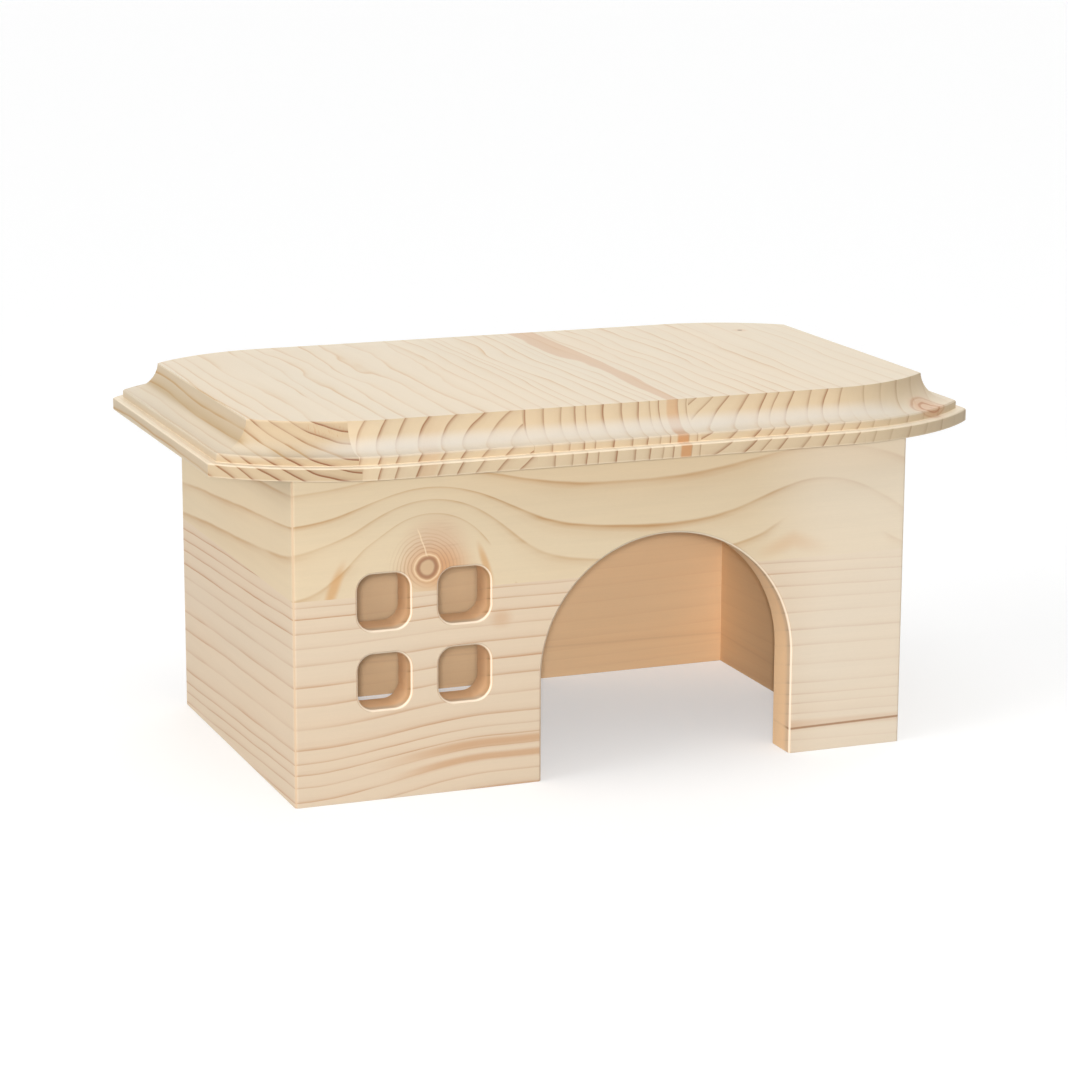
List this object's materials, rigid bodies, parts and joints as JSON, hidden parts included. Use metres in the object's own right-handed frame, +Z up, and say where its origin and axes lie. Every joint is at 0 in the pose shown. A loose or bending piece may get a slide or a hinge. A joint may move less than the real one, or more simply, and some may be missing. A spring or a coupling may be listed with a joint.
{
  "type": "wooden hamster house",
  "caption": "Bottomless wooden house for a small rodent, with an arched doorway, a paned window opening and a lift-off roof with a moulded edge and curved corners.",
  "frame": {"origin": "centre of the footprint, on the surface that the walls stand on", "axes": "+X along the front towards the doorway's side, +Y from the front to the back, +Z up"},
  "size_m": [0.296, 0.187, 0.1395],
  "materials": {
    "wall_wood": "bare sanded spruce, grain along each wall",
    "roof_wood": "bare sanded spruce, grain from front to back",
    "cleat_wood": "bare sawn spruce, grain along each cleat",
    "screw_steel": "zinc plated"
  },
  "bodies": {
    "house": {"front_wall_lower_left_board": "wall_wood", "front_wall_lower_right_board": "wall_wood", "front_wall_upper_board": "wall_wood", "back_wall_lower_board": "wall_wood", "back_wall_upper_board": "wall_wood", "left_wall_lower_board": "wall_wood", "left_wall_upper_board": "wall_wood", "right_wall_lower_board": "wall_wood", "right_wall_upper_board": "wall_wood"},
    "roof": {"roof_stave_left_end": "roof_wood", "roof_stave_left": "roof_wood", "roof_stave_centre": "roof_wood", "roof_stave_right": "roof_wood", "roof_stave_right_end": "roof_wood", "front_cleat": "cleat_wood", "back_cleat": "cleat_wood", "front_cleat_screws": "screw_steel", "back_cleat_screws": "screw_steel"}
  },
  "joints": [
    {"name": "roof_lift", "type": "slide", "parent": "house", "child": "roof", "axis": [0, 0, 1], "range_m": [0, 0.12]}
  ]
}
